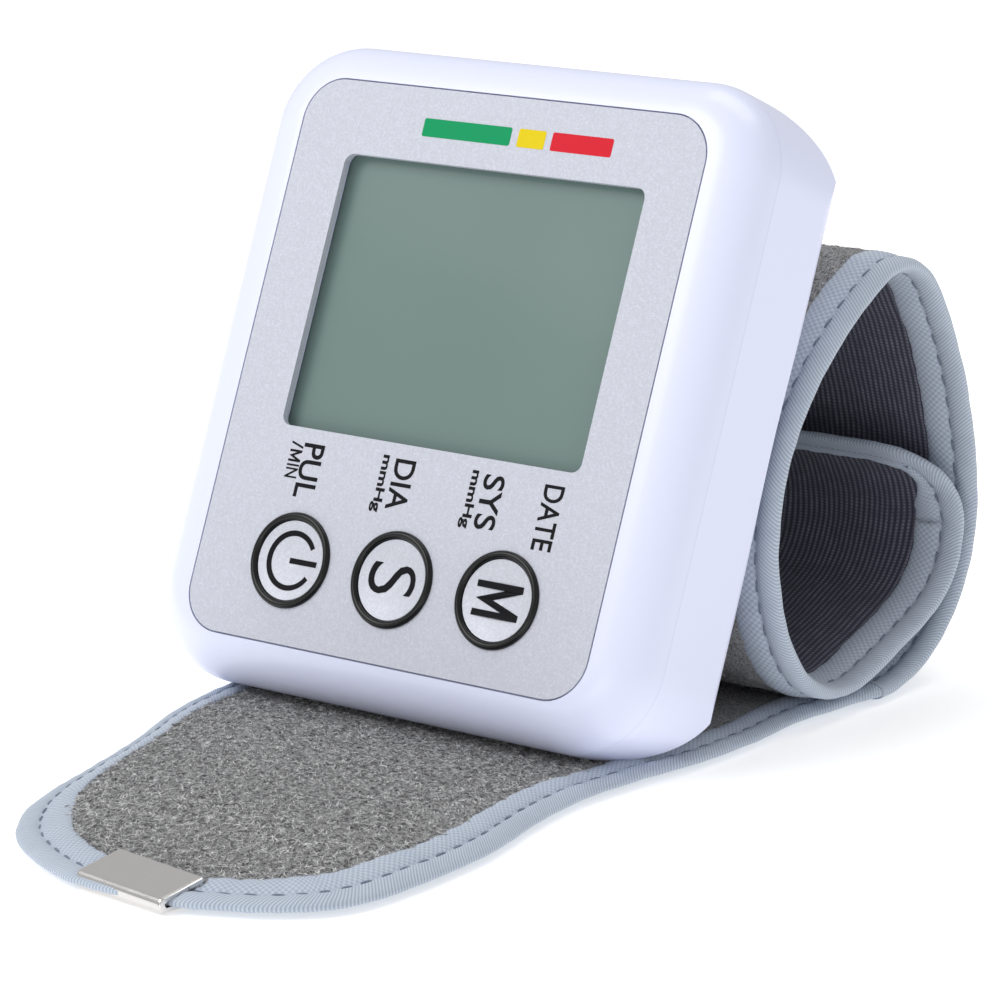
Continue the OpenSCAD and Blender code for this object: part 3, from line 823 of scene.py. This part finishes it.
def face_print(name, outline_points, faces, material, body="body", dished=None):
    """A thin print or painted highlight, from flat points on the face and faces between them."""
    flat = np.asarray(outline_points, float)
    base = dish(flat[:, 0], flat[:, 1], *dished) if dished else np.zeros(len(flat))
    lift = 0.055 if dished else PRINT_Z
    top = np.column_stack([flat, base + lift])
    low = np.column_stack([flat, base - 0.005])
    world = [(FACE @ (Vector(p) * MM)) / MM for p in np.vstack([top, low])]
    return add_mesh(name, np.array([tuple(p) for p in world]), two_sided(faces, len(flat)), material,
                    body=body, smooth=False)


def letters(name, words, x, y, body="body", dished=None, bold=0.0):
    """Words that read down the face, fitted between two heights x and two places y."""
    curve = bpy.data.curves.new(name, "FONT")
    curve.body = words
    curve.offset = bold
    curve.resolution_u = 5
    holder = bpy.data.objects.new(name + "_line", curve)
    scene.collection.objects.link(holder)
    bpy.context.view_layer.update()
    mesh = bpy.data.meshes.new_from_object(holder.evaluated_get(bpy.context.evaluated_depsgraph_get()))
    flat = np.array([v.co[:2] for v in mesh.vertices])
    faces = [tuple(p.vertices) for p in mesh.polygons]
    bpy.data.objects.remove(holder)
    low, high = flat.min(axis=0), flat.max(axis=0)
    unit = (flat - low) / (high - low)
    placed = np.column_stack([x[0] + unit[:, 1] * (x[1] - x[0]), y[0] + unit[:, 0] * (y[1] - y[0])])
    return face_print(name, placed, faces, print_black, body, dished)


letters("label_pulse", "PUL", (-17.3, -14.2), (-10.0, -16.5), bold=0.012)
letters("label_per", "/", (-19.2, -17.4), (-10.0, -10.8), bold=0.012)
letters("label_minute", "IN", (-19.2, -17.4), (-12.75, -14.4), bold=0.012)
letters("label_low", "DIA", (-3.5, -0.5), (-10.0, -16.0), bold=0.012)
letters("label_low_unit", "mmHg", (-5.8, -4.1), (-9.8, -16.6), bold=0.03)
letters("label_high", "SYS", (9.5, 12.5), (-10.0, -16.4), bold=0.012)
letters("label_high_unit", "mmHg", (7.3, 9.0), (-9.8, -16.6), bold=0.03)
letters("label_date", "DATE", (18.1, 20.9), (-10.0, -17.6), bold=0.012)
letters("mark_set", "S", (-3.5, 3.3), (-22.1, -25.8), "set_key", (0, KEY_Y), -0.006)


def letter_m(name, x, y, **kind):
    """An upright M from two stems and two slants, fitted like the other words."""
    unit = [(0, 0), (0.19, 0), (0.19, 0.6), (0.19, 1), (0, 1), (0.5, 0.38), (0.5, 0.02),
            (0.81, 1), (0.81, 0.6), (0.81, 0), (1, 0), (1, 1)]
    faces = [(0, 1, 2, 3, 4), (3, 2, 6, 5), (5, 6, 8, 7), (7, 8, 9, 10, 11)]
    placed = [(x[0] + v * (x[1] - x[0]), y[0] + u * (y[1] - y[0])) for u, v in unit]
    return face_print(name, placed, faces, print_black, **kind)


letter_m("label_minute_m", (-19.2, -17.4), (-11.0, -12.45))
letter_m("mark_memory", (12.0, 18.5), (-22.0, -26.1), body="memory_key", dished=(KEY_PITCH, KEY_Y))


def ring_print(name, middle, inner, outer, start, end, parts, material=print_black, **kind):
    """An arc of even width, angles in degrees."""
    turn = np.radians(np.linspace(start, end, parts + 1))
    inside = np.column_stack([middle[0] + inner * np.cos(turn), middle[1] + inner * np.sin(turn)])
    outside = np.column_stack([middle[0] + outer * np.cos(turn), middle[1] + outer * np.sin(turn)])
    n = parts + 1
    faces = [(i, n + i, n + i + 1, i + 1) for i in range(parts)]
    return face_print(name, np.vstack([inside, outside]), faces, material, **kind)


# Painted highlight: a thin white ring in the middle of each black key ring, where its gloss catches the light
for side in (-1, 0, 1):
    ring_print(f"ring_painted_highlight_{side + 1}", (KEY_PITCH * side, KEY_Y), 4.9, 5.08, 0, 360, 72, painted_highlight_white)
power_middle = (-KEY_PITCH, KEY_Y)
ring_print("mark_power_ring", power_middle, 2.95, 3.6, 32, 328, 60, body="power_key", dished=power_middle)
bar_x = np.linspace(-15.6, -11.4, 8)
bar = np.vstack([np.column_stack([bar_x, np.full(8, y)]) for y in (-24.33, -23.67)])
face_print("mark_power_bar", bar, [(i, i + 1, 9 + i, 8 + i) for i in range(7)], print_black,
           body="power_key", dished=power_middle)


def block_print(name, x0, x1, y0, y1, material, r=0.25):
    """A filled rectangle with softened corners."""
    points = []
    for cx, cy, first in ((x1 - r, y1 - r, 0), (x0 + r, y1 - r, 90),
                          (x0 + r, y0 + r, 180), (x1 - r, y0 + r, 270)):
        turn = np.radians(first + np.linspace(0, 90, 5))
        points += [(cx + r * math.cos(t), cy + r * math.sin(t)) for t in turn]
    return face_print(name, points, [tuple(range(len(points)))], material)


BARS = [("green", -11.1, 1.8, colour(14, 150, 94)), ("yellow", 2.85, 6.75, colour(226, 202, 22)),
        ("red", 7.7, 16.35, colour(212, 34, 50))]
for name, x0, x1, tone in BARS:
    block_print("scale_" + name, x0, x1, 28.1, 30.3, plain("print_" + name, tone, 0.5, shine=0.12))

# ---- floor, light and camera ----

floor_mesh = bpy.data.meshes.new("floor")
floor_mesh.from_pydata([(-6, -6, 0), (6, -6, 0), (6, 6, 0), (-6, 6, 0)], [], [(0, 1, 2, 3)])
floor_shader = Shader("floor_white")
floor_mesh.materials.append(floor_shader.surface(
    base_color=(0.9, 0.9, 0.9, 1), roughness=0.6, specular_ior_level=0.2,
    emission_color=(1, 1, 1, 1), emission_strength=0.4))
floor = bpy.data.objects.new("floor", floor_mesh)
floor.location.z = -0.0002
scene.collection.objects.link(floor)

world = bpy.data.worlds.new("studio")
world.use_nodes = True
world.node_tree.nodes["Background"].inputs["Color"].default_value = (1, 1, 1, 1)
world.node_tree.nodes["Background"].inputs["Strength"].default_value = 0.58
scene.world = world


def softbox(name, place, aim, size, power):
    """A rectangular lamp turned towards a point."""
    light = bpy.data.lights.new(name, "AREA")
    light.shape = "RECTANGLE"
    light.size, light.size_y = size
    light.energy = power
    lamp = bpy.data.objects.new(name, light)
    lamp.location = place
    lamp.rotation_euler = (Vector(aim) - Vector(place)).to_track_quat("-Z", "Y").to_euler()
    scene.collection.objects.link(lamp)


softbox("key", (-0.42, -0.62, 0.72), (0, 0, 0.03), (0.6, 0.6), 4.1)
softbox("fill", (0.85, -0.35, 0.45), (0, 0, 0.03), (0.5, 0.5), 0.15)
softbox("low_front", (0.1, -0.95, 0.14), (0, 0, 0.03), (0.5, 0.2), 0.75)
softbox("top", (0.0, 0.35, 0.95), (0, 0, 0), (0.8, 0.5), 2.6)

camera_data = bpy.data.cameras.new("camera")
camera_data.lens = 154.8
camera_data.sensor_width = 36
camera = bpy.data.objects.new("camera", camera_data)
camera.location = (0.30139, -0.37697, 0.14292)
forward, up = Vector((-0.59093, 0.77289, -0.23117)), Vector((-0.14041, 0.18364, 0.97291))
across = forward.cross(up)
camera.rotation_euler = Matrix((across, up, -forward)).transposed().to_euler()
scene.collection.objects.link(camera)
scene.camera = camera
scene.view_settings.view_transform = "Standard"
